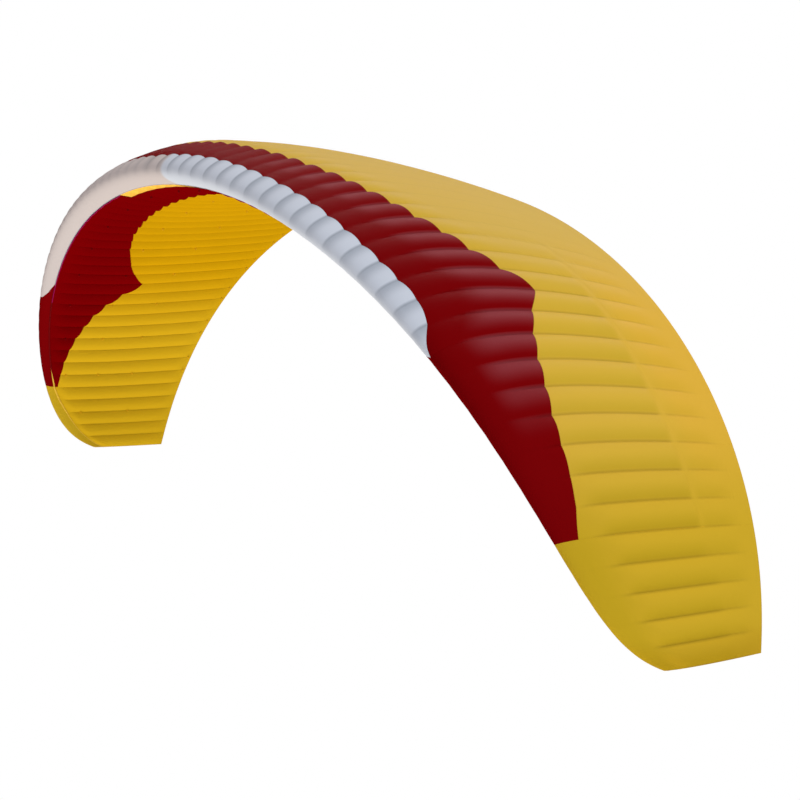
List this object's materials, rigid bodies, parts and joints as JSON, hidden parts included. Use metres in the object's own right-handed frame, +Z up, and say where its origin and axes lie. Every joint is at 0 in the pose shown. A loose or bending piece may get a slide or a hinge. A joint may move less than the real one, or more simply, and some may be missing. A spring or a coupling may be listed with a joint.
{
  "type": "paraglider canopy",
  "caption": "Arched paraglider wing of billowed cloth cells, open along the nose slot, with line tabs below and a trailing edge whose sections bend down as brakes.",
  "frame": {"origin": "centre of lift, on the chord line of the middle rib, 0.8 m behind its nose", "axes": "+Z up, leading edge towards -Y, +X towards the pilot's left tip"},
  "size_m": [9.398, 2.5718, 3.1459],
  "materials": {
    "white_cloth": "thin coated nylon, lit from outside and a little through",
    "red_cloth": "thin coated nylon, lit from outside and a little through",
    "yellow_cloth": "thin coated nylon, lit from outside and a little through",
    "rib_cloth": "thin coated nylon, lit from outside and a little through"
  },
  "bodies": {
    "root": {"lower_red_centre": "red_cloth", "lower_red_inner_left": "red_cloth", "lower_red_inner_right": "red_cloth", "lower_red_outer_left": "red_cloth", "lower_red_outer_right": "red_cloth", "lower_tip_left": "yellow_cloth", "lower_tip_right": "yellow_cloth", "lower_yellow_centre": "yellow_cloth", "lower_yellow_inner_left": "yellow_cloth", "lower_yellow_inner_right": "yellow_cloth", "lower_yellow_outer_left": "yellow_cloth", "lower_yellow_outer_right": "yellow_cloth", "nose_white_centre": "white_cloth", "nose_white_inner_left": "white_cloth", "nose_white_inner_right": "white_cloth", "rib_noses_centre": "rib_cloth", "rib_noses_inner_left": "rib_cloth", "rib_noses_inner_right": "rib_cloth", "rib_noses_outer_left": "rib_cloth", "rib_noses_outer_right": "rib_cloth", "tip_rib_left": "yellow_cloth", "tip_rib_right": "yellow_cloth", "upper_red_centre": "red_cloth", "upper_red_inner_left": "red_cloth", "upper_red_inner_right": "red_cloth", "upper_red_outer_left": "red_cloth", "upper_red_outer_right": "red_cloth", "upper_tip_left": "yellow_cloth", "upper_tip_right": "yellow_cloth", "upper_yellow_centre": "yellow_cloth", "upper_yellow_inner_left": "yellow_cloth", "upper_yellow_inner_right": "yellow_cloth", "upper_yellow_outer_left": "yellow_cloth", "upper_yellow_outer_right": "yellow_cloth"},
    "brake_left_1": {"brake_flap_left_1": "yellow_cloth"},
    "brake_left_2": {"brake_flap_left_2": "yellow_cloth"},
    "brake_left_3": {"brake_flap_left_3": "yellow_cloth"},
    "brake_left_4": {"brake_flap_left_4": "yellow_cloth"},
    "brake_left_5": {"brake_flap_left_5": "yellow_cloth"},
    "brake_left_6": {"brake_flap_left_6": "yellow_cloth"},
    "brake_left_7": {"brake_flap_left_7": "yellow_cloth"},
    "brake_right_1": {"brake_flap_right_1": "yellow_cloth"},
    "brake_right_2": {"brake_flap_right_2": "yellow_cloth"},
    "brake_right_3": {"brake_flap_right_3": "yellow_cloth"},
    "brake_right_4": {"brake_flap_right_4": "yellow_cloth"},
    "brake_right_5": {"brake_flap_right_5": "yellow_cloth"},
    "brake_right_6": {"brake_flap_right_6": "yellow_cloth"},
    "brake_right_7": {"brake_flap_right_7": "yellow_cloth"}
  },
  "joints": [
    {"name": "brake_left_1_pull", "type": "hinge", "parent": "root", "child": "brake_left_1", "pos_m": [1.3064, 1.1807, -0.19674], "axis": [-0.9808, 0.0154, 0.1947], "range_deg": [0, 11.25], "stiffness_Nm_per_rad": 1.2, "springref_deg": -22.92},
    {"name": "brake_left_2_pull", "type": "hinge", "parent": "root", "child": "brake_left_2", "pos_m": [1.89286, 1.16922, -0.34327], "axis": [-0.9569, 0.0226, 0.2897], "range_deg": [0, 18.75], "stiffness_Nm_per_rad": 1.2, "springref_deg": -22.92},
    {"name": "brake_left_3_pull", "type": "hinge", "parent": "root", "child": "brake_left_3", "pos_m": [2.45785, 1.15352, -0.54777], "axis": [-0.9202, 0.0297, 0.3902], "range_deg": [0, 23.75], "stiffness_Nm_per_rad": 1.2, "springref_deg": -22.92},
    {"name": "brake_left_4_pull", "type": "hinge", "parent": "root", "child": "brake_left_4", "pos_m": [2.99002, 1.13387, -0.81174], "axis": [-0.8669, 0.0364, 0.4972], "range_deg": [0, 25], "stiffness_Nm_per_rad": 1.2, "springref_deg": -22.92},
    {"name": "brake_left_5_pull", "type": "hinge", "parent": "root", "child": "brake_left_5", "pos_m": [3.47466, 1.11101, -1.13468], "axis": [-0.7914, 0.0419, 0.6098], "range_deg": [0, 23.75], "stiffness_Nm_per_rad": 1.2, "springref_deg": -22.92},
    {"name": "brake_left_6_pull", "type": "hinge", "parent": "root", "child": "brake_left_6", "pos_m": [3.89398, 1.0866, -1.51175], "axis": [-0.6879, 0.0444, 0.7245], "range_deg": [0, 18.75], "stiffness_Nm_per_rad": 1.2, "springref_deg": -22.92},
    {"name": "brake_left_7_pull", "type": "hinge", "parent": "root", "child": "brake_left_7", "pos_m": [4.22916, 1.06419, -1.9306], "axis": [-0.5518, 0.0386, 0.8331], "range_deg": [0, 11.25], "stiffness_Nm_per_rad": 1.2, "springref_deg": -22.92},
    {"name": "brake_right_1_pull", "type": "hinge", "parent": "root", "child": "brake_right_1", "pos_m": [-1.3064, 1.1807, -0.19674], "axis": [-0.9808, -0.0154, -0.1947], "range_deg": [0, 11.25], "stiffness_Nm_per_rad": 1.2, "springref_deg": -22.92},
    {"name": "brake_right_2_pull", "type": "hinge", "parent": "root", "child": "brake_right_2", "pos_m": [-1.89286, 1.16922, -0.34327], "axis": [-0.9569, -0.0226, -0.2897], "range_deg": [0, 18.75], "stiffness_Nm_per_rad": 1.2, "springref_deg": -22.92},
    {"name": "brake_right_3_pull", "type": "hinge", "parent": "root", "child": "brake_right_3", "pos_m": [-2.45785, 1.15352, -0.54777], "axis": [-0.9202, -0.0297, -0.3902], "range_deg": [0, 23.75], "stiffness_Nm_per_rad": 1.2, "springref_deg": -22.92},
    {"name": "brake_right_4_pull", "type": "hinge", "parent": "root", "child": "brake_right_4", "pos_m": [-2.99002, 1.13387, -0.81174], "axis": [-0.8669, -0.0364, -0.4972], "range_deg": [0, 25], "stiffness_Nm_per_rad": 1.2, "springref_deg": -22.92},
    {"name": "brake_right_5_pull", "type": "hinge", "parent": "root", "child": "brake_right_5", "pos_m": [-3.47466, 1.11101, -1.13468], "axis": [-0.7914, -0.0419, -0.6098], "range_deg": [0, 23.75], "stiffness_Nm_per_rad": 1.2, "springref_deg": -22.92},
    {"name": "brake_right_6_pull", "type": "hinge", "parent": "root", "child": "brake_right_6", "pos_m": [-3.89398, 1.0866, -1.51175], "axis": [-0.6879, -0.0444, -0.7245], "range_deg": [0, 18.75], "stiffness_Nm_per_rad": 1.2, "springref_deg": -22.92},
    {"name": "brake_right_7_pull", "type": "hinge", "parent": "root", "child": "brake_right_7", "pos_m": [-4.22916, 1.06419, -1.9306], "axis": [-0.5518, -0.0386, -0.8331], "range_deg": [0, 11.25], "stiffness_Nm_per_rad": 1.2, "springref_deg": -22.92}
  ],
  "couplings": [
    {"joint": "brake_left_1_pull", "follows": "brake_left_4_pull", "ratio": 0.45},
    {"joint": "brake_left_2_pull", "follows": "brake_left_4_pull", "ratio": 0.75},
    {"joint": "brake_left_3_pull", "follows": "brake_left_4_pull", "ratio": 0.95},
    {"joint": "brake_left_5_pull", "follows": "brake_left_4_pull", "ratio": 0.95},
    {"joint": "brake_left_6_pull", "follows": "brake_left_4_pull", "ratio": 0.75},
    {"joint": "brake_left_7_pull", "follows": "brake_left_4_pull", "ratio": 0.45},
    {"joint": "brake_right_1_pull", "follows": "brake_right_4_pull", "ratio": 0.45},
    {"joint": "brake_right_2_pull", "follows": "brake_right_4_pull", "ratio": 0.75},
    {"joint": "brake_right_3_pull", "follows": "brake_right_4_pull", "ratio": 0.95},
    {"joint": "brake_right_5_pull", "follows": "brake_right_4_pull", "ratio": 0.95},
    {"joint": "brake_right_6_pull", "follows": "brake_right_4_pull", "ratio": 0.75},
    {"joint": "brake_right_7_pull", "follows": "brake_right_4_pull", "ratio": 0.45}
  ]
}
